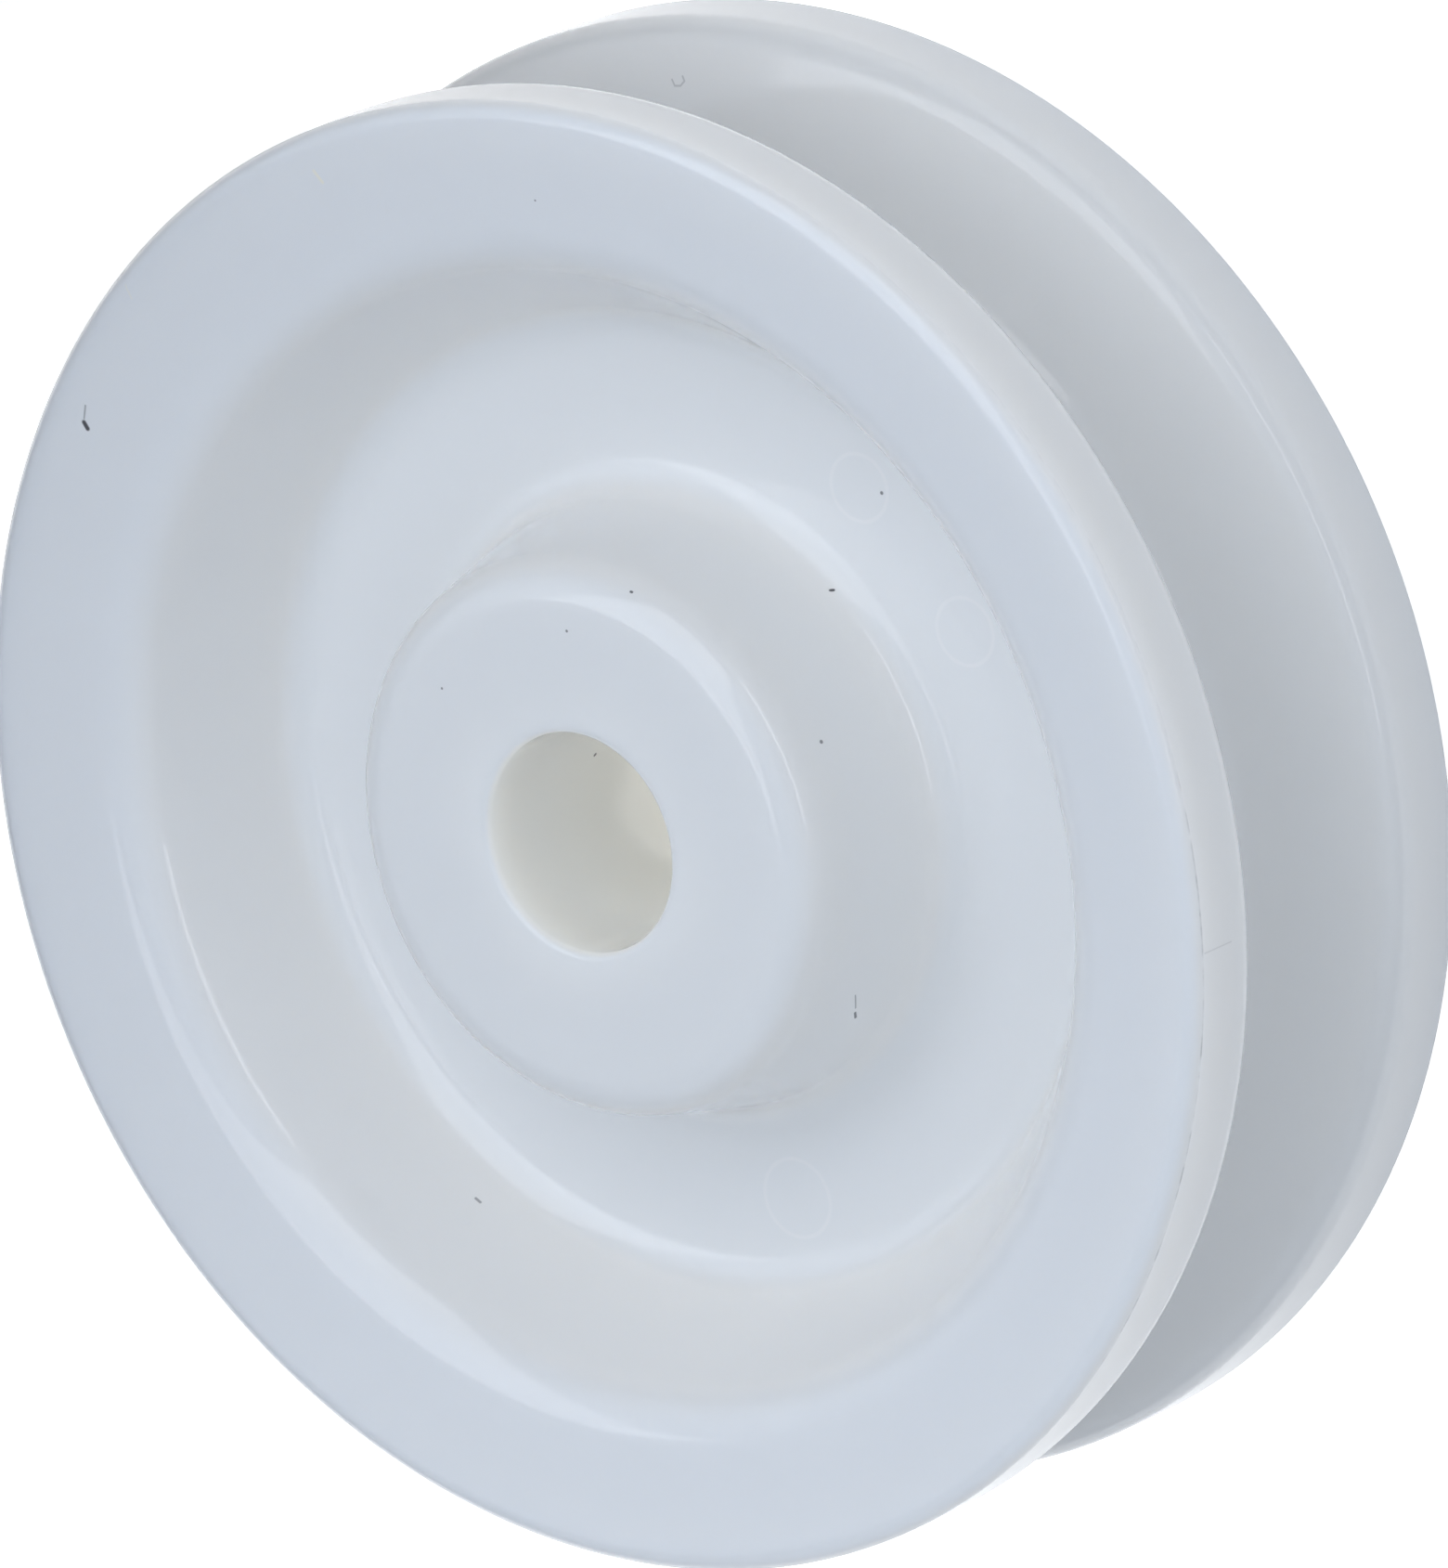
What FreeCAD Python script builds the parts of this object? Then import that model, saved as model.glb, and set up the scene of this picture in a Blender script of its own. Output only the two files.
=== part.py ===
import FreeCAD, Part

"""Rope pulley moulded in one piece: two flanges with a rope groove between them, a thin web and a hub.

The axis of the bore is Z and the origin is the bore's centre in the middle plane. Both sides are alike,
so one quarter of the section is drawn, turned about the axis and mirrored in the middle plane.
Lengths are in millimetres and angles in degrees.
"""

import math
import os

import Sketcher

# Driving sizes, each written once, and two that follow from them
SIZES = [
    ("outer_diameter", 100.0, "over the two flanges"),
    ("rim_width", 28.8, "over the highest rings of the two flanges"),
    ("rim_corner_radius", 1.3, "outer corner of a flange"),
    ("rim_edge_drop", 0.7, "from a flange's highest ring down to its outer edge"),
    ("rim_face_angle", 6.5, "slope of a flange's face, lower towards the recess"),
    ("groove_root_share", 0.75, "of the outer diameter, at the bottom of the rope groove"),
    ("groove_root_diameter", "=outer_diameter * groove_root_share", "at the bottom of the rope groove"),
    ("groove_root_radius", 6.0, "round bottom of the rope groove"),
    ("groove_angle", 30.0, "between the two flanks of the groove"),
    ("groove_edge_radius", 2.1, "where a flank runs out to the rim"),
    ("bore_diameter", 15.0, "running bore for the axle"),
    ("bore_edge_radius", 0.5, "mouth of the bore"),
    ("hub_length", 29.8, "over the two end faces of the hub"),
    ("hub_face_diameter", 32.5, "flat end face of the hub"),
    ("hub_edge_radius", 3.0, "outer edge of the hub's end"),
    ("hub_draft_angle", 12.0, "taper of the hub's side"),
    ("hub_root_radius", 2.6, "between hub and web"),
    ("web_thickness", 6.0, "flat web between hub and rim"),
    ("rim_root_thickness", 6.3, "from the bottom of the groove in to the web's flat part"),
    (
        "web_flat_diameter",
        "=groove_root_diameter - 2 * rim_root_thickness",
        "where the web begins to rise to the rim",
    ),
    ("recess_foot_radius", 2.9, "between web and recess wall"),
    ("recess_wall_angle", 31.5, "recess wall, from the axis"),
    ("recess_lip_radius", 4.8, "between recess wall and flange face"),
]


def add_sheet(doc):
    """Spreadsheet that holds the driving sizes under their names."""
    sheet = doc.addObject("Spreadsheet::Sheet", "sizes")
    for row, (name, value, meaning) in enumerate(SIZES, start=1):
        sheet.set("A%d" % row, name)
        sheet.set("B%d" % row, str(value))
        sheet.set("C%d" % row, meaning)
        sheet.setAlias("B%d" % row, name)
    doc.recompute()
    return sheet


def origin_plane(body, role):
    """Plane of the body's own origin, such as XZ_Plane."""
    return next(item for item in body.Origin.OriginFeatures if item.Role == role)


def polar(centre, radius, angle):
    """Point at this radius and angle, in degrees, round a centre."""
    turn = math.radians(angle)
    return FreeCAD.Vector(centre.x + radius * math.cos(turn), centre.y + radius * math.sin(turn), 0)


class Outline:
    """Closed chain of lines and arcs in a sketch, each tangent to the next where that is asked for."""

    def __init__(self, sketch):
        self.sketch = sketch
        self.links = []

    def line(self, start, end):
        """Adds a straight piece and returns its number."""
        number = self.sketch.addGeometry(Part.LineSegment(start, end))
        self.links.append((number, 1, 2))
        return number

    def arc(self, centre, radius, from_angle, to_angle):
        """Adds a round piece; it runs clockwise where to_angle is the smaller."""
        circle = Part.Circle(centre, FreeCAD.Vector(0, 0, 1), radius)
        low, high = sorted((math.radians(from_angle), math.radians(to_angle)))
        number = self.sketch.addGeometry(Part.ArcOfCircle(circle, low, high))
        self.links.append((number, 1, 2) if to_angle > from_angle else (number, 2, 1))
        return number

    def join(self, corners):
        """Ties each piece to the next: tangent, or only touching after a piece in corners."""
        following = self.links[1:] + self.links[:1]
        for (number, _, last), (next_number, first, _) in zip(self.links, following):
            kind = "Coincident" if number in corners else "Tangent"
            self.sketch.addConstraint(Sketcher.Constraint(kind, number, last, next_number, first))

    def bind(self, kind, places, expression, start_value):
        """Adds a dimension and ties it to the sheet."""
        index = self.sketch.addConstraint(Sketcher.Constraint(kind, *places, start_value))
        self.sketch.setExpression("Constraints[%d]" % index, expression)


def draw_quarter(sketch, size):
    """Quarter of the section, from the bore to the rim and from the middle plane to one face.

    The sketch's x is the distance from the axis and its y the height above the middle plane.
    """
    rim_radius = size.outer_diameter / 2
    bore_radius = size.bore_diameter / 2
    hub_top = size.hub_length / 2
    web_top = size.web_thickness / 2
    draft = size.hub_draft_angle
    wall = 90 - size.recess_wall_angle
    slope = size.rim_face_angle
    flank = size.groove_angle / 2

    def direction(angle):
        return polar(FreeCAD.Vector(), 1, angle)

    # Hub: the edge's arc ends on the tapered side, and the root's arc touches that side and the web
    bore_edge = FreeCAD.Vector(bore_radius + size.bore_edge_radius, hub_top - size.bore_edge_radius, 0)
    hub_edge = FreeCAD.Vector(size.hub_face_diameter / 2, hub_top - size.hub_edge_radius, 0)
    side_start = polar(hub_edge, size.hub_edge_radius, draft)
    root_height = web_top + size.hub_root_radius
    root_offset = size.hub_root_radius - (root_height - side_start.y) * math.sin(math.radians(draft))
    root_x = side_start.x + root_offset / math.cos(math.radians(draft))
    hub_root = FreeCAD.Vector(root_x, root_height, 0)

    # Rim corner and recess foot are placed by sizes; the lip's arc touches the wall and the flange's face
    corner_height = size.rim_width / 2 - size.rim_corner_radius
    rim_edge_height = size.rim_width / 2 - size.rim_edge_drop
    corner_end = math.degrees(math.asin((rim_edge_height - corner_height) / size.rim_corner_radius))
    corner_reach = size.rim_corner_radius * math.cos(math.radians(corner_end))
    rim_corner = FreeCAD.Vector(rim_radius - corner_reach, corner_height, 0)
    foot = FreeCAD.Vector(size.web_flat_diameter / 2, web_top + size.recess_foot_radius, 0)
    wall_start = polar(foot, size.recess_foot_radius, wall - 90)
    face_end = polar(rim_corner, size.rim_corner_radius, 90 + slope)
    into_wall = direction(wall - 90)
    under_face = direction(slope - 90)
    wall_reach = wall_start.dot(into_wall) + size.recess_lip_radius
    face_reach = face_end.dot(under_face) + size.recess_lip_radius
    spread = into_wall.x * under_face.y - into_wall.y * under_face.x
    lip_x = (wall_reach * under_face.y - face_reach * into_wall.y) / spread
    lip_y = (face_reach * into_wall.x - wall_reach * under_face.x) / spread
    lip = FreeCAD.Vector(lip_x, lip_y, 0)

    # Rope groove: its flank touches the round bottom, and the edge's arc touches the flank and the rim
    root = FreeCAD.Vector(size.groove_root_diameter / 2 + size.groove_root_radius, 0, 0)
    flank_end = polar(root, size.groove_root_radius, 90 + flank)
    edge_x = rim_radius - size.groove_edge_radius
    rise = size.groove_edge_radius + (edge_x - flank_end.x) * math.sin(math.radians(flank))
    edge = FreeCAD.Vector(edge_x, flank_end.y + rise / math.cos(math.radians(flank)), 0)

    outline = Outline(sketch)
    bore = outline.line(FreeCAD.Vector(bore_radius, 0, 0), polar(bore_edge, size.bore_edge_radius, 180))
    bore_arc = outline.arc(bore_edge, size.bore_edge_radius, 180, 90)
    hub_face = outline.line(
        polar(bore_edge, size.bore_edge_radius, 90), polar(hub_edge, size.hub_edge_radius, 90)
    )
    hub_arc = outline.arc(hub_edge, size.hub_edge_radius, 90, draft)
    hub_side = outline.line(side_start, polar(hub_root, size.hub_root_radius, 180 + draft))
    root_arc = outline.arc(hub_root, size.hub_root_radius, 180 + draft, 270)
    web = outline.line(
        polar(hub_root, size.hub_root_radius, 270), polar(foot, size.recess_foot_radius, 270)
    )
    foot_arc = outline.arc(foot, size.recess_foot_radius, 270, 270 + wall)
    recess_wall = outline.line(wall_start, polar(lip, size.recess_lip_radius, 90 + wall))
    lip_arc = outline.arc(lip, size.recess_lip_radius, 90 + wall, 90 + slope)
    rim_face = outline.line(polar(lip, size.recess_lip_radius, 90 + slope), face_end)
    corner_arc = outline.arc(rim_corner, size.rim_corner_radius, 90 + slope, corner_end)
    rim = outline.line(
        polar(rim_corner, size.rim_corner_radius, corner_end), polar(edge, size.groove_edge_radius, 0)
    )
    edge_arc = outline.arc(edge, size.groove_edge_radius, 0, flank - 90)
    groove_flank = outline.line(polar(edge, size.groove_edge_radius, flank - 90), flank_end)
    groove_arc = outline.arc(root, size.groove_root_radius, 90 + flank, 180)
    middle = outline.line(polar(root, size.groove_root_radius, 180), FreeCAD.Vector(bore_radius, 0, 0))
    outline.join(corners=(corner_arc, groove_arc, middle))

    # Lines that stay level, upright or on the middle plane; 3 is an arc's centre and -1 the x axis
    for upright in (bore, rim):
        sketch.addConstraint(Sketcher.Constraint("Vertical", upright))
    for level in (hub_face, web, middle):
        sketch.addConstraint(Sketcher.Constraint("Horizontal", level))
    sketch.addConstraint(Sketcher.Constraint("PointOnObject", middle, 2, -1))
    sketch.addConstraint(Sketcher.Constraint("PointOnObject", groove_arc, 3, -1))

    radii = [
        (bore_arc, "bore_edge_radius"),
        (hub_arc, "hub_edge_radius"),
        (root_arc, "hub_root_radius"),
        (foot_arc, "recess_foot_radius"),
        (lip_arc, "recess_lip_radius"),
        (corner_arc, "rim_corner_radius"),
        (edge_arc, "groove_edge_radius"),
        (groove_arc, "groove_root_radius"),
    ]
    for number, name in radii:
        outline.bind("Radius", (number,), "sizes." + name, getattr(size, name))

    half_diameters = [
        (bore, 1, "bore_diameter"),
        (hub_arc, 3, "hub_face_diameter"),
        (foot_arc, 3, "web_flat_diameter"),
        (groove_arc, 2, "groove_root_diameter"),
        (rim, 1, "outer_diameter"),
    ]
    for number, point, name in half_diameters:
        outline.bind("DistanceX", (-1, 1, number, point), "sizes.%s / 2" % name, getattr(size, name) / 2)

    heights = [
        (hub_face, 1, "sizes.hub_length / 2", hub_top),
        (web, 1, "sizes.web_thickness / 2", web_top),
        (corner_arc, 3, "sizes.rim_width / 2 - sizes.rim_corner_radius", corner_height),
        (rim, 1, "sizes.rim_width / 2 - sizes.rim_edge_drop", rim_edge_height),
    ]
    for number, point, expression, height in heights:
        outline.bind("DistanceY", (-1, 1, number, point), expression, height)

    # Directions of the sloping lines, measured from the x axis
    slopes = [
        (hub_side, "sizes.hub_draft_angle - 90", draft - 90),
        (recess_wall, "90 - sizes.recess_wall_angle", wall),
        (rim_face, "sizes.rim_face_angle", slope),
        (groove_flank, "sizes.groove_angle / 2 - 180", flank - 180),
    ]
    for number, expression, angle in slopes:
        outline.bind("Angle", (number,), expression, math.radians(angle))


def make_pulley(doc, sheet):
    """The whole moulding: the quarter section turned about the axis and mirrored."""
    body = doc.addObject("PartDesign::Body", "pulley")
    body.Label = "pulley"
    section = body.newObject("Sketcher::SketchObject", "quarter_section")
    section.AttachmentSupport = [(origin_plane(body, "XZ_Plane"), "")]
    section.MapMode = "FlatFace"
    doc.recompute()
    draw_quarter(section, sheet)
    doc.recompute()

    half = body.newObject("PartDesign::Revolution", "turned_half")
    half.Profile = section
    half.ReferenceAxis = (section, ["V_Axis"])
    half.Angle = 360
    section.Visibility = False
    doc.recompute()

    whole = body.newObject("PartDesign::Mirrored", "both_halves")
    whole.Originals = [half]
    whole.MirrorPlane = (origin_plane(body, "XY_Plane"), [""])
    body.Tip = whole
    doc.recompute()
    return body, section, half


def check(doc, body, section, half):
    """Stops if a feature failed, the section is loose or the mirror added nothing."""
    for item in doc.Objects:
        faults = [state for state in item.State if state in ("Invalid", "Error")]
        if faults:
            raise RuntimeError("%s: %s" % (item.Name, ", ".join(faults)))
    if section.solve() != 0 or not section.FullyConstrained:
        raise RuntimeError("the quarter section isn't fully constrained")
    shape = body.Shape
    if shape.isNull() or not shape.isValid() or len(shape.Solids) != 1:
        raise RuntimeError("the pulley isn't one valid solid")
    if abs(shape.Volume / half.Shape.Volume - 2) > 1e-6:
        raise RuntimeError("the mirror didn't double the turned half")


doc = FreeCAD.newDocument("rope_pulley")
sheet = add_sheet(doc)
pulley, quarter_section, turned_half = make_pulley(doc, sheet)
check(doc, pulley, quarter_section, turned_half)

os.makedirs("parts", exist_ok=True)
pulley.Shape.exportStep(os.path.join("parts", pulley.Label + ".step"))

box = pulley.Shape.optimalBoundingBox()
print("pulley: %.1f x %.1f x %.1f mm" % (box.XLength, box.YLength, box.ZLength))
print("volume: %.1f cm3" % (pulley.Shape.Volume / 1000))
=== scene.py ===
"""Rope pulley of natural plastic, lying on its rear hub face, seen and lit as in the photograph.

The pulley is one lathe-turned mesh, made from the same sizes as the CAD solid that it stands for.
Azimuths count round +Z from +X towards +Y, and tilts count from +Z. The camera is on the -Y side.
"""
import math

import bpy
from mathutils import Euler, Matrix, Vector


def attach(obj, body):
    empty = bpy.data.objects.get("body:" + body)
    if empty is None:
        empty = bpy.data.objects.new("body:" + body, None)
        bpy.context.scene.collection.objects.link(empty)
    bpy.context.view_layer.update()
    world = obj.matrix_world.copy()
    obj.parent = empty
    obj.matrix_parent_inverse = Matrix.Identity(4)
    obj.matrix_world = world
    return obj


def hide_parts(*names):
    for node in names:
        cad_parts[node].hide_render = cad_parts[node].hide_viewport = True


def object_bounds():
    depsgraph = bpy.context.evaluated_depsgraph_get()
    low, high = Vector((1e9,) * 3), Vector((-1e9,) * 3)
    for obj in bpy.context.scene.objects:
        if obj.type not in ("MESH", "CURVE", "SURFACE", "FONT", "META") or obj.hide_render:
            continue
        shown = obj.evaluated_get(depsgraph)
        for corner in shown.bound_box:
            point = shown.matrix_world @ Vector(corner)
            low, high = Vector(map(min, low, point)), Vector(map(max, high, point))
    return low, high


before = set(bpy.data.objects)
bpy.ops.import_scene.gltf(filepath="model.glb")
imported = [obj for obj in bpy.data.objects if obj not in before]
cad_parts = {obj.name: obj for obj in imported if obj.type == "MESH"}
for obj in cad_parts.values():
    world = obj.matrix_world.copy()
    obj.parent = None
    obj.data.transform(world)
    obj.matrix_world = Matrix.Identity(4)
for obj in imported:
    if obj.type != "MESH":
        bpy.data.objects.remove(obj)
cad_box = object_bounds()

MM = 0.001

# Sizes of the section, in millimetres and degrees
RIM_RADIUS = 50.0
RIM_HALF_WIDTH = 14.4
RIM_CORNER = 1.3
RIM_EDGE_DROP = 0.7
RIM_FACE_SLOPE = 6.5
GROOVE_ROOT = 37.5
GROOVE_ROUND = 6.0
GROOVE_FLANK = 15.0
GROOVE_EDGE = 2.1
BORE_RADIUS = 7.5
BORE_EDGE = 0.5
HUB_HALF_LENGTH = 14.9
HUB_FACE_RADIUS = 16.25
HUB_EDGE = 3.0
HUB_DRAFT = 12.0
HUB_ROOT = 2.6
WEB_HALF = 3.0
WEB_FLAT_RADIUS = 31.2
RECESS_FOOT = 2.9
RECESS_WALL = 58.5
RECESS_LIP = 4.8

# Steps round the axis, and how far from its ends a straight line of the section has its two points
TURNS = 360
LINE_INSET = 0.2


def polar(centre, radius, angle):
    """Point at a radius and an angle in degrees round a centre, in the section's plane."""
    turn = math.radians(angle)
    return Vector((centre[0] + radius * math.cos(turn), centre[1] + radius * math.sin(turn)))


def arc_points(centre, radius, start, end, steps):
    """Points along an arc, both ends included."""
    return [polar(centre, radius, start + (end - start) * k / steps) for k in range(steps + 1)]


def line_points(start, end):
    """Two points on a straight line, close to its ends, that keep the shading flat between them."""
    inset = (end - start).normalized() * LINE_INSET
    return [start + inset, end - inset]


def crossing(first, first_reach, second, second_reach):
    """Point whose reaches along two unit directions are given."""
    spread = first.x * second.y - first.y * second.x
    return Vector((
        (first_reach * second.y - second_reach * first.y) / spread,
        (second_reach * first.x - first_reach * second.x) / spread,
    ))


def hub_arcs():
    """Arcs of the bore's edge, of the hub's edge and of the hub's root on the web."""
    bore_edge = Vector((BORE_RADIUS + BORE_EDGE, HUB_HALF_LENGTH - BORE_EDGE))
    hub_edge = Vector((HUB_FACE_RADIUS, HUB_HALF_LENGTH - HUB_EDGE))
    side = polar(hub_edge, HUB_EDGE, HUB_DRAFT)
    root_y = WEB_HALF + HUB_ROOT
    lean = math.radians(HUB_DRAFT)
    root_x = side.x + (HUB_ROOT - (root_y - side.y) * math.sin(lean)) / math.cos(lean)
    hub_root = Vector((root_x, root_y))
    return [
        arc_points(bore_edge, BORE_EDGE, 180, 90, steps=6),
        arc_points(hub_edge, HUB_EDGE, 90, HUB_DRAFT, steps=24),
        arc_points(hub_root, HUB_ROOT, 180 + HUB_DRAFT, 270, steps=12),
    ]


def rim_arcs():
    """Arcs of the recess's foot and lip and of the rim's corner."""
    corner_end = math.degrees(math.asin(1 - RIM_EDGE_DROP / RIM_CORNER))
    corner_reach = RIM_CORNER * math.cos(math.radians(corner_end))
    corner = Vector((RIM_RADIUS - corner_reach, RIM_HALF_WIDTH - RIM_CORNER))
    foot = Vector((WEB_FLAT_RADIUS, WEB_HALF + RECESS_FOOT))
    wall_start = polar(foot, RECESS_FOOT, RECESS_WALL - 90)
    face_end = polar(corner, RIM_CORNER, 90 + RIM_FACE_SLOPE)
    into_wall = polar((0, 0), 1, RECESS_WALL - 90)
    under_face = polar((0, 0), 1, RIM_FACE_SLOPE - 90)
    wall_reach = wall_start.dot(into_wall) + RECESS_LIP
    face_reach = face_end.dot(under_face) + RECESS_LIP
    lip = crossing(into_wall, wall_reach, under_face, face_reach)
    return [
        arc_points(foot, RECESS_FOOT, 270, 270 + RECESS_WALL, steps=10),
        arc_points(lip, RECESS_LIP, 90 + RECESS_WALL, 90 + RIM_FACE_SLOPE, steps=24),
        arc_points(corner, RIM_CORNER, 90 + RIM_FACE_SLOPE, corner_end, steps=10),
    ]


def groove_arcs():
    """Arcs of the groove's flared edge and of its round root."""
    groove = Vector((GROOVE_ROOT + GROOVE_ROUND, 0))
    flank_end = polar(groove, GROOVE_ROUND, 90 + GROOVE_FLANK)
    edge_x = RIM_RADIUS - GROOVE_EDGE
    tilt = math.radians(GROOVE_FLANK)
    rise = GROOVE_EDGE + (edge_x - flank_end.x) * math.sin(tilt)
    edge = Vector((edge_x, flank_end.y + rise / math.cos(tilt)))
    return [
        arc_points(edge, GROOVE_EDGE, 0, GROOVE_FLANK - 90, steps=12),
        arc_points(groove, GROOVE_ROUND, 90 + GROOVE_FLANK, 180, steps=10),
    ]


def quarter_profile():
    """Section from the middle of the bore over the hub, web and rim to the middle of the groove."""
    points = [Vector((BORE_RADIUS, 0))]
    for arc in hub_arcs() + rim_arcs() + groove_arcs():
        points += line_points(points[-1], arc[0])
        points += arc
    return points


def add_mesh(name, verts, faces):
    """New mesh object in the scene."""
    mesh = bpy.data.meshes.new(name)
    mesh.from_pydata(verts, [], faces)
    piece = bpy.data.objects.new(name, mesh)
    bpy.context.scene.collection.objects.link(piece)
    return piece


def lathe(name, quarter):
    """Closed mesh from a quarter section mirrored in the middle plane and turned about Z."""
    back = [Vector((p.x, -p.y)) for p in quarter[1:-1]]
    loop = quarter + back[::-1]
    ring = len(loop)
    verts = []
    for turn in range(TURNS):
        angle = 2 * math.pi * turn / TURNS
        c, s = math.cos(angle) * MM, math.sin(angle) * MM
        verts += [(p.x * c, p.x * s, p.y * MM) for p in loop]
    faces = []
    for turn in range(TURNS):
        here, there = turn * ring, (turn + 1) % TURNS * ring
        for k in range(ring):
            up = (k + 1) % ring
            faces.append((here + k, here + up, there + up, there + k))
    piece = add_mesh(name, verts, faces)
    piece.data.validate()
    piece.data.shade_smooth()
    return piece


def direction(azimuth, tilt):
    """Unit vector at an azimuth round +Z and a tilt from +Z, in degrees."""
    a, t = math.radians(azimuth), math.radians(tilt)
    return Vector((math.cos(a) * math.sin(t), math.sin(a) * math.sin(t), math.cos(t)))


def at(radius, azimuth, height):
    """Point on the pulley in metres, from a radius and a height in millimetres."""
    turn = math.radians(azimuth)
    return Vector((radius * math.cos(turn), radius * math.sin(turn), height)) * MM


# Share of a drawn line's half width that has its full strength
STROKE_CORE = 0.4
RING_CORE = 0.3


class Nodes:
    """Short calls for the shader nodes that the materials and the world are made of."""

    def __init__(self, tree):
        self.tree = tree

    def new(self, kind):
        return self.tree.nodes.new("ShaderNode" + kind)

    def put(self, socket, value):
        """Links a socket into another, or sets a number or a colour on it."""
        if isinstance(value, bpy.types.NodeSocket):
            self.tree.links.new(value, socket)
        else:
            socket.default_value = value

    def math(self, operation, *values, clamp=False):
        node = self.new("Math")
        node.operation = operation
        node.use_clamp = clamp
        for socket, value in zip(node.inputs, values):
            self.put(socket, value)
        return node.outputs[0]

    def vector(self, operation, *values, output=0):
        node = self.new("VectorMath")
        node.operation = operation
        for socket, value in zip(node.inputs, values):
            self.put(socket, value)
        return node.outputs[output]

    def ramp(self, value, start, end):
        """0 at start and 1 at end, with a smooth step between them."""
        node = self.new("MapRange")
        node.interpolation_type = "SMOOTHSTEP"
        for name, number in (("Value", value), ("From Min", start), ("From Max", end)):
            self.put(node.inputs[name], number)
        return node.outputs["Result"]

    def ramp_mm(self, value, start, end):
        """The same for a length, with its start and end in millimetres."""
        return self.ramp(value, start * MM, end * MM)

    def mix(self, share, first, second):
        node = self.new("Mix")
        node.data_type = "RGBA"
        self.put(node.inputs["Factor"], share)
        self.put(node.inputs["A"], first)
        self.put(node.inputs["B"], second)
        return node.outputs["Result"]

    def parts(self, vector):
        node = self.new("SeparateXYZ")
        self.put(node.inputs[0], vector)
        return node.outputs

    def stroke(self, place, start, end, half_width):
        """1 on a short straight mark between two points, fading to 0 at its half width."""
        along = end - start
        per_length = tuple(along / along.length_squared)
        from_start = self.vector("SUBTRACT", place, tuple(start))
        share = self.vector("DOT_PRODUCT", from_start, per_length, output="Value")
        share = self.math("ADD", share, 0.0, clamp=True)
        nearest = self.new("VectorMath")
        nearest.operation = "SCALE"
        nearest.inputs[0].default_value = tuple(along)
        self.put(nearest.inputs["Scale"], share)
        gap = self.vector("DISTANCE", from_start, nearest.outputs[0], output="Value")
        return self.ramp(gap, half_width, half_width * STROKE_CORE)

    def ring(self, distance, radius, half_width):
        """1 on a thin ring at a radius, fading to 0 at the half width of its line."""
        gap = self.math("ABSOLUTE", self.math("SUBTRACT", distance, radius))
        return self.ramp(gap, half_width, half_width * RING_CORE)


def start_material(name):
    """New material, with the short calls for its nodes and its shader."""
    material = bpy.data.materials.new(name)
    material.use_nodes = True
    return material, Nodes(material.node_tree), material.node_tree.nodes["Principled BSDF"]


FACE_COLOUR = (0.905, 0.925, 0.938, 1)
# Painted shade: the rim's face is a little darker and bluer than the faces nearer the hub
RIM_SHADE_COLOUR = (0.890, 0.916, 0.943, 1)
# Painted shade: a warmer tone on the side walls and in the groove, which get less direct light
SIDE_SHADE_COLOUR = (0.93, 0.928, 0.915, 1)
# Painted light: the bore is bright and warm, as if lit up through its open end
BORE_PAINTED_LIGHT = (0.99, 0.985, 0.95, 1)
DIRT_COLOUR = (0.10, 0.10, 0.11, 1)
SCRATCH_COLOUR = (0.97, 0.95, 0.84, 1)
# The stamps' colour is a painted highlight on their raised rings
STAMP_HIGHLIGHT_COLOUR = (0.97, 0.975, 0.98, 1)

# Gloss of the surface, and how far red, green and blue light spreads under it, times a length in metres
ROUGHNESS = 0.09
IOR = 1.53
SCATTER_RADIUS = (1.0, 0.9, 0.75)
SCATTER_SCALE = 0.005

# Where each zone of painted shade and painted light fades in, from none to full: the Z part of the
# normal for the side walls, and radii and heights in millimetres for the others
STEEP_NORMAL = (0.98, 0.55)
RIM_RADII = (36, 42)
GROOVE_RADII = (37.2, 38.5)
GROOVE_HEIGHTS = (10.2, 8.6)
BORE_RADII = (BORE_RADIUS + 0.35, BORE_RADIUS + 0.1)
BORE_HEIGHTS = (HUB_HALF_LENGTH, HUB_HALF_LENGTH - 0.4)

# Specks in the cells of a pattern: cells per metre, the random number from which a cell has one and
# at which it is largest, its size and its soft edge as shares of a cell, and its strength
SPECK_SCALE = 300.0
SPECK_CHANCE = (0.72, 1.0)
SPECK_SIZE = 0.055
SPECK_EDGE = 0.02
SPECK_STRENGTH = 0.75

# Parting line on the rim: the distances from it and the radii where it fades in, in millimetres, then
# the pattern that breaks it up, and the stretch towards one azimuth that holds more dirt
LINE_FADE = (0.10, 0.02)
LINE_RADII = (49.6, 49.8)
BEAD_SCALE = 700.0
BEAD_DETAIL = 3.0
BEAD_LEVELS = (0.30, 0.75)
DIRTY_AZIMUTH = 230
DIRTY_REACH = (43, 48.5)
DIRTY_STRENGTH = 0.32
CLEAN_STRENGTH = 0.08

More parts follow.
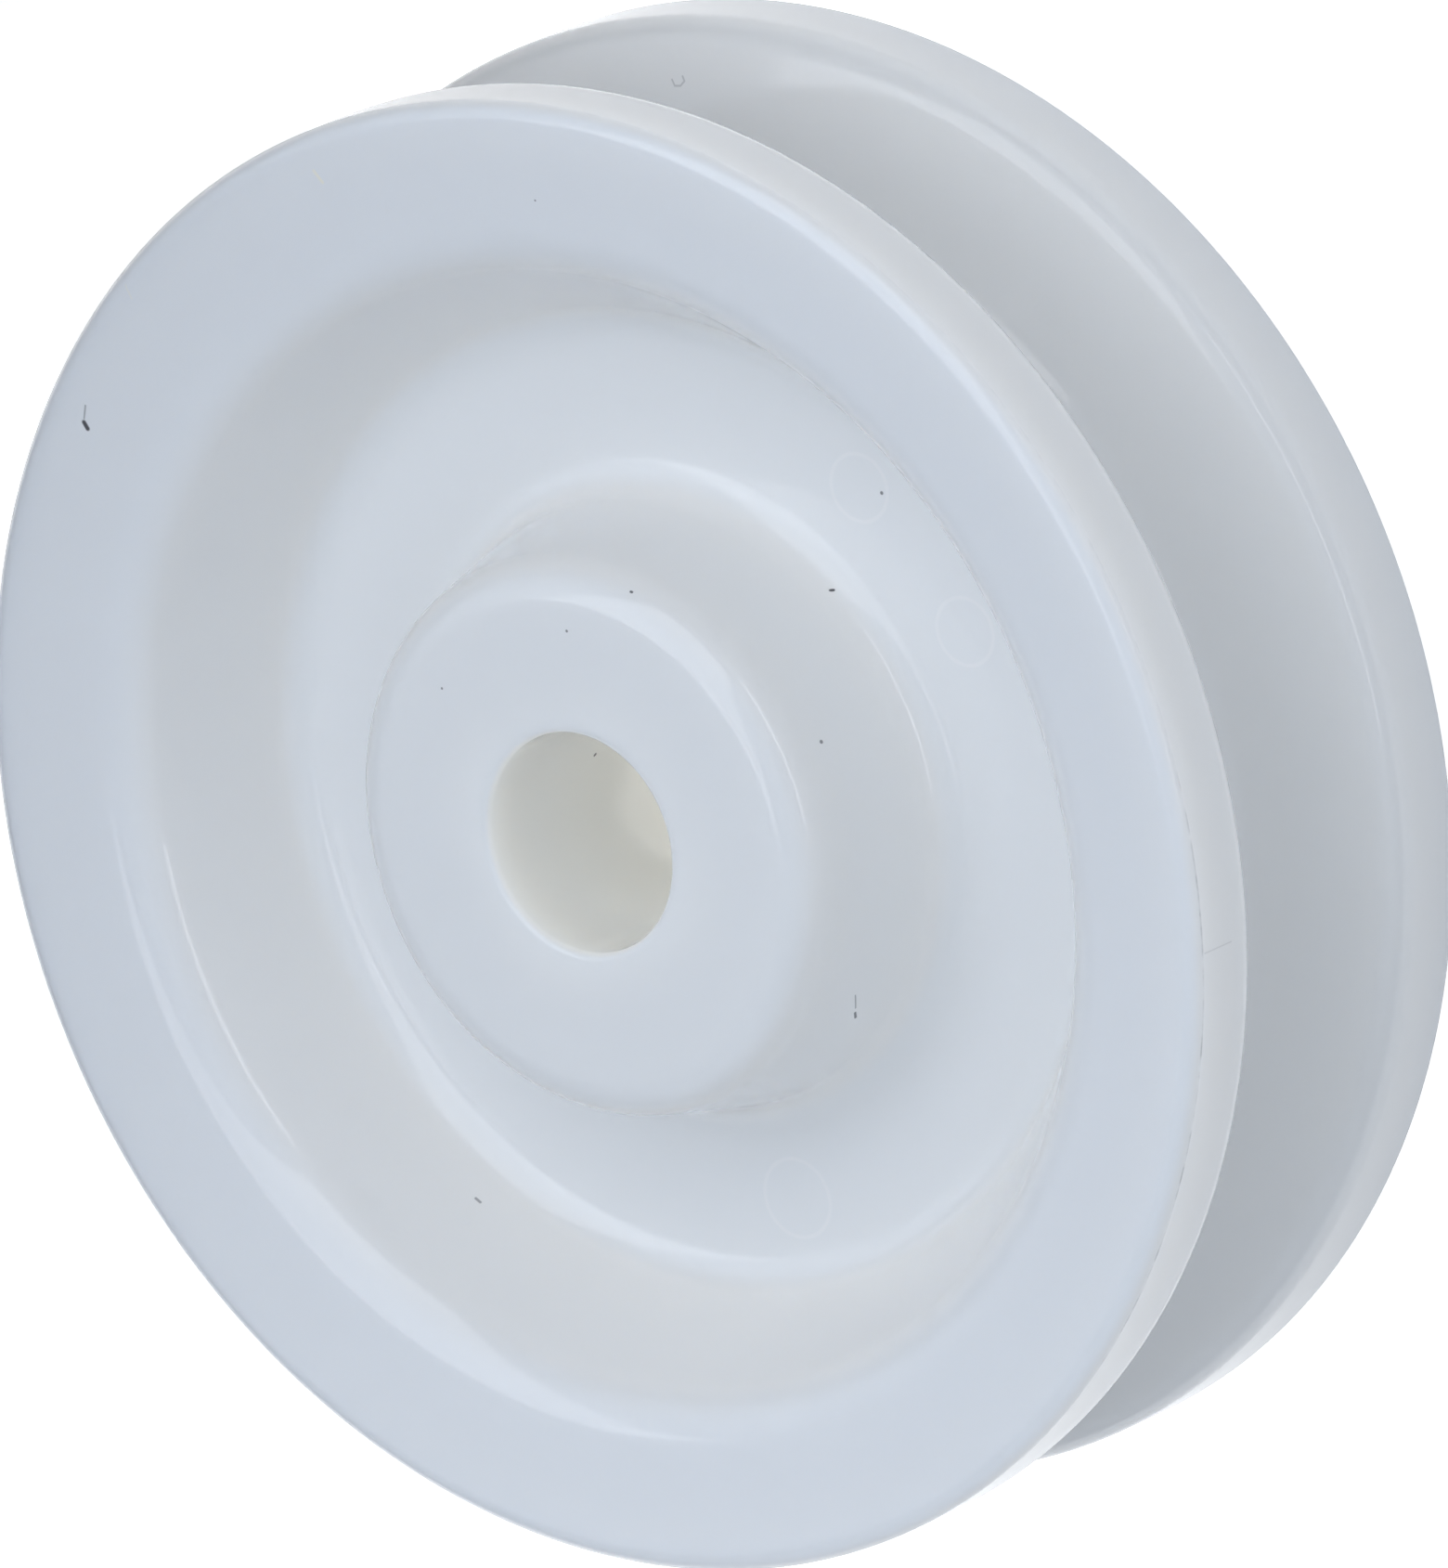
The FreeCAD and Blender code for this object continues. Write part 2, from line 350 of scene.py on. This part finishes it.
# Marks seen on the pulley: radius, azimuth and height of both ends, then half width and strength;
# lengths are in millimetres
DARK_MARKS = [
    ((47.0, 32.5, 14.2), (46.7, 33.6, 14.2), 0.10, 0.5),
    ((46.6, 33.9, 14.2), (46.2, 34.2, 14.1), 0.24, 1.0),
    ((20.0, 215.4, 8.8), (20.1, 211.9, 8.2), 0.08, 0.5),
    ((20.1, 210.6, 8.0), (20.2, 209.2, 7.7), 0.14, 0.8),
    ((46.2, 341.1, -6.9), (45.8, 340.8, -6.8), 0.10, 0.3),
    ((45.8, 340.8, -6.8), (45.8, 340.2, -6.8), 0.10, 0.3),
    ((45.8, 340.2, -6.8), (46.1, 339.8, -6.9), 0.10, 0.3),
    ((46.1, 339.8, -6.9), (46.4, 340.0, -7.0), 0.10, 0.3),
    ((50.0, 243.2, 13.5), (50.0, 243.2, 10.6), 0.07, 0.15),
    ((18.4, 318.1, 14.0), (18.4, 318.4, 14.0), 0.12, 0.9),
    ((21.2, 294.1, 4.0), (21.4, 293.7, 3.9), 0.13, 1.0),
    ((7.5, 48.2, 3.5), (7.5, 48.6, 3.6), 0.14, 0.9),
    ((34.6, 123.1, 5.9), (34.6, 123.8, 5.9), 0.13, 0.6),
]
PALE_MARKS = [
    ((47.4, 358.0, 14.2), (46.5, 357.7, 14.1), 0.18, 0.8),
    ((49.0, 20.9, 14.4), (48.1, 21.4, 14.3), 0.08, 0.5),
]

# Plain round stamps on the web, shown by a painted highlight on their raised rings: radius and azimuth
# of the middle, then the ring's own radius, and the half width of its line, all in millimetres and
# degrees
STAMPS = [(27.7, 169.0, 2.7), (28.1, 300.0, 2.3), (27.9, 275.5, 2.3)]
STAMP_LINE = 0.2
STAMP_HIGHLIGHT_STRENGTH = 0.5


def colour_and_painted_shade(nodes, radius, height, upright):
    """Colour without marks: cool on the faces, with painted shade that darkens the rim and warms the
    side walls, and painted light that makes the bore bright and warm.
    """
    steep = nodes.ramp(upright, *STEEP_NORMAL)
    in_groove = nodes.math(
        "MULTIPLY", nodes.ramp_mm(radius, *GROOVE_RADII), nodes.ramp_mm(height, *GROOVE_HEIGHTS)
    )
    in_bore = nodes.math(
        "MULTIPLY", nodes.ramp_mm(radius, *BORE_RADII), nodes.ramp_mm(height, *BORE_HEIGHTS)
    )
    colour = nodes.mix(nodes.ramp_mm(radius, *RIM_RADII), FACE_COLOUR, RIM_SHADE_COLOUR)
    colour = nodes.mix(nodes.math("MAXIMUM", steep, in_groove), colour, SIDE_SHADE_COLOUR)
    return nodes.mix(in_bore, colour, BORE_PAINTED_LIGHT)


def specks(nodes, place):
    """Share of dirt in the specks under the surface, which are sparse and of uneven size."""
    cells = nodes.new("TexVoronoi")
    nodes.put(cells.inputs["Vector"], place)
    nodes.put(cells.inputs["Scale"], SPECK_SCALE)
    chance = nodes.parts(cells.outputs["Color"])[0]
    size = nodes.math("MULTIPLY", nodes.ramp(chance, *SPECK_CHANCE), SPECK_SIZE)
    outside = nodes.math("SUBTRACT", cells.outputs["Distance"], size)
    return nodes.math("MULTIPLY", nodes.ramp(outside, 0.0, -SPECK_EDGE), SPECK_STRENGTH)


def parting_line(nodes, place, radius, height):
    """Share of dirt in the parting line on the rim's outer edge, caught in parts of it."""
    beads = nodes.new("TexNoise")
    nodes.put(beads.inputs["Vector"], place)
    nodes.put(beads.inputs["Scale"], BEAD_SCALE)
    nodes.put(beads.inputs["Detail"], BEAD_DETAIL)
    line_height = (RIM_HALF_WIDTH - RIM_EDGE_DROP) * MM
    off_line = nodes.math("ABSOLUTE", nodes.math("SUBTRACT", height, line_height))
    on_line = nodes.math(
        "MULTIPLY", nodes.ramp_mm(off_line, *LINE_FADE), nodes.ramp_mm(radius, *LINE_RADII)
    )
    line = nodes.math("MULTIPLY", on_line, nodes.ramp(beads.outputs[0], *BEAD_LEVELS))
    to_dirt = tuple(direction(DIRTY_AZIMUTH, 90))
    reach = nodes.vector("DOT_PRODUCT", place, to_dirt, output="Value")
    dirty = nodes.math("MULTIPLY", nodes.ramp_mm(reach, *DIRTY_REACH), DIRTY_STRENGTH)
    return nodes.math("MULTIPLY", line, nodes.math("ADD", dirty, CLEAN_STRENGTH))


def marks(nodes, place, table):
    """The strokes of a table of marks, each times its strength."""
    for start, end, half_width, strength in table:
        stroke = nodes.stroke(place, at(*start), at(*end), half_width * MM)
        yield nodes.math("MULTIPLY", stroke, strength)


def plastic_material():
    """Milky, slightly translucent plastic with the pulley's marks, and painted shade, light and
    highlights.
    """
    material, nodes, shader = start_material("milky_plastic")
    where = nodes.new("TexCoord")
    place = where.outputs["Object"]
    height = nodes.math("ABSOLUTE", nodes.parts(place)[2])
    flat = nodes.vector("MULTIPLY", place, (1, 1, 0))
    radius = nodes.vector("LENGTH", flat, output="Value")
    upright = nodes.math("ABSOLUTE", nodes.parts(where.outputs["Normal"])[2])

    colour = colour_and_painted_shade(nodes, radius, height, upright)
    # Painted highlight: each stamp's raised ring is drawn as a pale line in the colour
    for middle, azimuth, ring_radius in STAMPS:
        stamp = tuple(at(middle, azimuth, WEB_HALF))
        gap = nodes.vector("DISTANCE", place, stamp, output="Value")
        ring = nodes.ring(gap, ring_radius * MM, STAMP_LINE * MM)
        colour = nodes.mix(nodes.math("MULTIPLY", ring, STAMP_HIGHLIGHT_STRENGTH), colour, STAMP_HIGHLIGHT_COLOUR)
    for mark in marks(nodes, place, PALE_MARKS):
        colour = nodes.mix(mark, colour, SCRATCH_COLOUR)

    dirt = specks(nodes, place)
    for mark in marks(nodes, place, DARK_MARKS):
        dirt = nodes.math("MAXIMUM", dirt, mark)
    dirt = nodes.math("MAXIMUM", dirt, parting_line(nodes, place, radius, height))
    colour = nodes.mix(dirt, colour, DIRT_COLOUR)

    nodes.put(shader.inputs["Base Color"], colour)
    nodes.put(shader.inputs["Roughness"], ROUGHNESS)
    nodes.put(shader.inputs["IOR"], IOR)
    shader.subsurface_method = "BURLEY"
    nodes.put(shader.inputs["Subsurface Weight"], 1.0)
    nodes.put(shader.inputs["Subsurface Radius"], SCATTER_RADIUS)
    nodes.put(shader.inputs["Subsurface Scale"], SCATTER_SCALE)
    return material


# Camera: a long lens, found by fitting the outline; +Z points to the lower left in the picture.
# Angles are in degrees, places in metres, and the focal length in the photograph's pixels.
CAMERA_ELEVATION = 48.61
CAMERA_ROLL = 246.53
CAMERA_DISTANCE = 1.7017
CAMERA_CLIP = (0.1, 20)
AIM = Vector((-0.00018, -0.00065, 0.0))
SENSOR_MM = 36.0
FOCAL_PIXELS = 27788.5
PICTURE_HEIGHT = 1689


def add_camera():
    """Camera at the photograph's angle, with its roll."""
    data = bpy.data.cameras.new("camera")
    data.sensor_fit = "AUTO"
    data.sensor_width = SENSOR_MM
    data.lens = FOCAL_PIXELS / PICTURE_HEIGHT * SENSOR_MM
    data.clip_start, data.clip_end = CAMERA_CLIP
    camera = bpy.data.objects.new("camera", data)
    bpy.context.scene.collection.objects.link(camera)
    down = Euler((math.radians(90 - CAMERA_ELEVATION), 0, 0)).to_matrix()
    rolled = down @ Matrix.Rotation(math.radians(CAMERA_ROLL), 3, "Z")
    stand = AIM + down @ Vector((0, 0, CAMERA_DISTANCE))
    camera.matrix_world = Matrix.Translation(stand) @ rolled.to_4x4()
    bpy.context.scene.camera = camera


LAMP_TINT = (0.99, 1.0, 1.03)
STUDIO_TINT = (0.92, 1.0, 1.12, 1)

# Broad glows of the studio: azimuth, tilt, half width in degrees and strength
GLOWS = [
    (270, 50, 65, 0.66),
    (180, 60, 70, 0.29),
    (90, 60, 70, 0.22),
    (0, 45, 60, 0.32),
    (150, 70, 40, 0.24),
    (45, 45, 35, 0.60),
]

# Pale wall low round the studio: the heights of a ray between which it fades in, and its level
WALL_HEIGHTS = (0.35, 0.05)
WALL_LEVEL = 0.6


def add_world():
    """Studio round the pulley, as a few broad soft glows."""
    world = bpy.data.worlds.new("studio")
    world.use_nodes = True
    nodes = Nodes(world.node_tree)
    background = world.node_tree.nodes["Background"]
    where = nodes.new("TexCoord").outputs["Generated"]
    total = 0.0
    for azimuth, tilt, half_width, strength in GLOWS:
        middle = tuple(direction(azimuth, tilt))
        nearness = nodes.vector("DOT_PRODUCT", where, middle, output="Value")
        glow = nodes.ramp(nearness, math.cos(math.radians(half_width)), 1.0)
        total = nodes.math("ADD", nodes.math("MULTIPLY", glow, strength), total)
    # Only shiny edges seen at a grazing angle mirror the pale wall
    level = nodes.ramp(nodes.parts(where)[2], *WALL_HEIGHTS)
    glossy = nodes.new("LightPath").outputs["Is Glossy Ray"]
    wall = nodes.math("MULTIPLY", nodes.math("MULTIPLY", level, glossy), WALL_LEVEL)
    nodes.put(background.inputs["Color"], STUDIO_TINT)
    nodes.put(background.inputs["Strength"], nodes.math("MAXIMUM", total, wall))
    bpy.context.scene.world = world


FLOOR_HALF = 3.0
FLOOR_COLOUR = (0.80, 0.80, 0.80, 1)
FLOOR_ROUGHNESS = 0.9
FLOOR_SEEN = 0.82


def add_floor():
    """White floor; what the camera sees of it is brighter than the light that it throws back."""
    h, z = FLOOR_HALF, cad_box[0].z
    floor = add_mesh("floor", [(-h, -h, z), (h, -h, z), (h, h, z), (-h, h, z)], [(0, 1, 2, 3)])
    material, nodes, shader = start_material("white_floor")
    path = nodes.new("LightPath").outputs
    seen = nodes.math("MAXIMUM", path["Is Camera Ray"], path["Is Glossy Ray"])
    seen = nodes.math("MAXIMUM", seen, path["Is Transmission Ray"])
    nodes.put(shader.inputs["Base Color"], FLOOR_COLOUR)
    nodes.put(shader.inputs["Roughness"], FLOOR_ROUGHNESS)
    nodes.put(shader.inputs["Specular IOR Level"], 0.0)
    nodes.put(shader.inputs["Emission Color"], (1, 1, 1, 1))
    nodes.put(shader.inputs["Emission Strength"], nodes.math("MULTIPLY", seen, FLOOR_SEEN))
    floor.data.materials.append(material)


CARD_STEPS = 24
CARD_COLOUR = (0.01, 0.01, 0.01, 1)


def add_card(distance, top, start, end):
    """Black card round one side of the pulley, hidden from the camera, that keeps that side dark."""
    verts = []
    for k in range(CARD_STEPS + 1):
        turn = math.radians(start + (end - start) * k / CARD_STEPS)
        x, y = distance * math.cos(turn), distance * math.sin(turn)
        verts += [(x, y, cad_box[0].z), (x, y, top)]
    faces = [(2 * k, 2 * k + 2, 2 * k + 3, 2 * k + 1) for k in range(CARD_STEPS)]
    card = add_mesh("black_card", verts, faces)
    material, nodes, shader = start_material("black_card")
    nodes.put(shader.inputs["Base Color"], CARD_COLOUR)
    nodes.put(shader.inputs["Specular IOR Level"], 0.0)
    card.data.materials.append(material)
    card.visible_camera = False
    card.visible_glossy = False


def add_light(name, shape, area, radiance, colour):
    """Area light of a shape whose radiance is the same all over it."""
    data = bpy.data.lights.new(name, "AREA")
    data.shape = shape
    data.energy = math.pi * area * radiance
    data.color = colour
    light = bpy.data.objects.new(name, data)
    bpy.context.scene.collection.objects.link(light)
    return light


def add_area(name, azimuth, tilt, distance, length, width, radiance, towards, reflected_only=False):
    """Rectangular light that faces the pulley, with its length pointing towards another direction."""
    light = add_light(name, "RECTANGLE", length * width, radiance, LAMP_TINT)
    light.data.size = length
    light.data.size_y = width
    back = direction(azimuth, tilt)
    along = direction(*towards)
    along = (along - back * along.dot(back)).normalized()
    across = back.cross(along)
    turn = Matrix((along, across, back)).transposed()
    light.matrix_world = Matrix.Translation(back * distance) @ turn.to_4x4()
    light.visible_diffuse = not reflected_only


# Light in the bore: its diameter and its height over the floor, in metres
BORE_GLOW_SIZE = 0.013
BORE_GLOW_LIFT = 0.0002
BORE_GLOW_RADIANCE = 0.8
BORE_GLOW_COLOUR = (1.0, 0.98, 0.92)


def add_bore_glow():
    """Round light at the bore's lower end that shines up, like the pale ground seen through it."""
    area = math.pi * (BORE_GLOW_SIZE / 2) ** 2
    light = add_light("bore_glow", "DISK", area, BORE_GLOW_RADIANCE, BORE_GLOW_COLOUR)
    light.data.size = BORE_GLOW_SIZE
    stand = Matrix.Translation((0, 0, cad_box[0].z + BORE_GLOW_LIFT))
    light.matrix_world = stand @ Matrix.Rotation(math.pi, 4, "X")
    light.visible_camera = False


# Lamps, in degrees and metres: the softbox lights the pulley, and the others only show as highlights
# on it. The sheen stands a little behind the softbox, because two in one place hide each other.
SOFTBOX_PLACE = {"azimuth": 2, "tilt": 25, "towards": (324, 55)}
STRIP_PLACE = {"azimuth": 270, "distance": 1.0, "towards": (0, 90)}
STRIP_TILTS = (56, 59)


def add_lamps():
    """Softbox with an added sheen, and two thin strips on the camera's side."""
    add_area("softbox", distance=1.0, length=1.4, width=0.62, radiance=1.02, **SOFTBOX_PLACE)
    add_area(
        "softbox_sheen", distance=1.1, length=1.5, width=0.66, radiance=0.2,
        reflected_only=True, **SOFTBOX_PLACE
    )
    for tilt in STRIP_TILTS:
        add_area(
            "strip_%d" % tilt, tilt=tilt, length=0.95, width=0.025, radiance=4.0,
            reflected_only=True, **STRIP_PLACE
        )


pulley = lathe("moulded_pulley", quarter_profile())
pulley.data.materials.append(plastic_material())
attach(pulley, "root")
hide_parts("pulley")

add_camera()
add_world()
add_floor()
add_lamps()
add_card(distance=0.090, top=0.060, start=-6, end=115)
add_bore_glow()

bpy.context.scene.view_settings.view_transform = "Standard"
